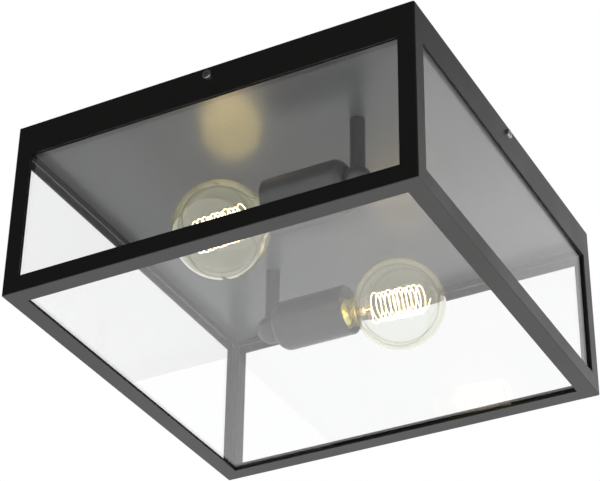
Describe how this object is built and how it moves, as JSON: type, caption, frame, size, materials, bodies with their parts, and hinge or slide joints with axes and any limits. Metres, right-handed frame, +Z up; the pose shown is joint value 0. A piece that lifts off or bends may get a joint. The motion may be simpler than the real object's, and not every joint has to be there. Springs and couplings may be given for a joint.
{
  "type": "porch ceiling lantern",
  "caption": "Flush-mounted square porch ceiling lantern: black sheet-metal cage with clear glass sides and bottom around horizontal globe bulbs on stems under a shallow ceiling tray.",
  "frame": {"origin": "centre of the lantern on the ceiling plane, on the strap's upper face", "axes": "+Z up towards the ceiling, +X towards the right side, -Y towards the front side"},
  "size_m": [0.3644, 0.3644, 0.1623],
  "materials": {
    "cage_paint": "satin black powder coat",
    "tray_paint": "satin black powder coat",
    "lamp_paint": "satin black powder coat",
    "pane_glass": "clear float glass",
    "seal_rubber": "black glazing strip",
    "weld_steel": "zinc-plated",
    "screw_steel": "bright zinc-plated",
    "strap_steel": "zinc-plated",
    "block_nylon": "ivory nylon",
    "lead_sleeve": "braided heat-resistant sleeving",
    "earth_sleeve": "green insulation",
    "insert_ceramic": "unglazed porcelain",
    "contact_brass": "stamped brass",
    "globe_glass": "clear, faint amber tint",
    "mount_glass": "clear",
    "cap_brass": "rolled brass",
    "tip_solder": "solder",
    "insulator_glass": "black glass",
    "filament_wire": "glowing coil"
  },
  "bodies": {
    "ceiling_side": {"ceiling_strap": "strap_steel", "strap_studs": "strap_steel", "cap_nuts": "strap_steel", "ceiling_tray": "tray_paint", "terminal_block": "block_nylon", "terminal_screws": "strap_steel", "earth_nut": "strap_steel", "earth_lead": "earth_sleeve", "stem_washers": "strap_steel", "locknuts": "strap_steel", "leads_back": "lead_sleeve", "leads_front": "lead_sleeve", "stem_back": "lamp_paint", "stem_front": "lamp_paint", "stem_pipe_back": "strap_steel", "stem_pipe_front": "strap_steel", "elbow_back": "lamp_paint", "elbow_front": "lamp_paint", "sleeve_back": "lamp_paint", "sleeve_front": "lamp_paint", "socket_insert_back": "insert_ceramic", "socket_insert_front": "insert_ceramic", "screw_shell_back": "contact_brass", "screw_shell_front": "contact_brass", "centre_contact_back": "contact_brass", "centre_contact_front": "contact_brass"},
    "cage": {"top_band": "cage_paint", "bottom_frame": "cage_paint", "weld_nuts": "weld_steel", "pane_bottom": "pane_glass", "seal_bottom": "seal_rubber", "corner_post_front": "cage_paint", "corner_post_right": "cage_paint", "corner_post_back": "cage_paint", "corner_post_left": "cage_paint", "pane_front": "pane_glass", "pane_right": "pane_glass", "pane_back": "pane_glass", "pane_left": "pane_glass", "seal_front": "seal_rubber", "seal_right": "seal_rubber", "seal_back": "seal_rubber", "seal_left": "seal_rubber"},
    "bulb_back": {"bulb_glass_back": "globe_glass", "bulb_cap_back": "cap_brass", "bulb_insulator_back": "insulator_glass", "bulb_tip_back": "tip_solder", "bulb_mount_back": "mount_glass", "bulb_filament_back": "filament_wire"},
    "bulb_front": {"bulb_glass_front": "globe_glass", "bulb_cap_front": "cap_brass", "bulb_insulator_front": "insulator_glass", "bulb_tip_front": "tip_solder", "bulb_mount_front": "mount_glass", "bulb_filament_front": "filament_wire"},
    "screw_front": {"side_screw_front": "screw_steel"},
    "screw_right": {"side_screw_right": "screw_steel"},
    "screw_back": {"side_screw_back": "screw_steel"},
    "screw_left": {"side_screw_left": "screw_steel"}
  },
  "joints": [
    {"name": "cage_drop", "type": "slide", "parent": "ceiling_side", "child": "cage", "axis": [0, 0, -1], "range_m": [0, 0.2]},
    {"name": "bulb_back_out", "type": "slide", "parent": "ceiling_side", "child": "bulb_back", "axis": [0.9979, 0, -0.0645], "range_m": [0, 0.045]},
    {"name": "bulb_front_out", "type": "slide", "parent": "ceiling_side", "child": "bulb_front", "axis": [-0.9979, 0, -0.0645], "range_m": [0, 0.045]},
    {"name": "screw_front_out", "type": "slide", "parent": "cage", "child": "screw_front", "axis": [0, -1, 0], "range_m": [0, 0.008]},
    {"name": "screw_right_out", "type": "slide", "parent": "cage", "child": "screw_right", "axis": [1, 0, 0], "range_m": [0, 0.008]},
    {"name": "screw_back_out", "type": "slide", "parent": "cage", "child": "screw_back", "axis": [0, 1, 0], "range_m": [0, 0.008]},
    {"name": "screw_left_out", "type": "slide", "parent": "cage", "child": "screw_left", "axis": [-1, 0, 0], "range_m": [0, 0.008]}
  ]
}
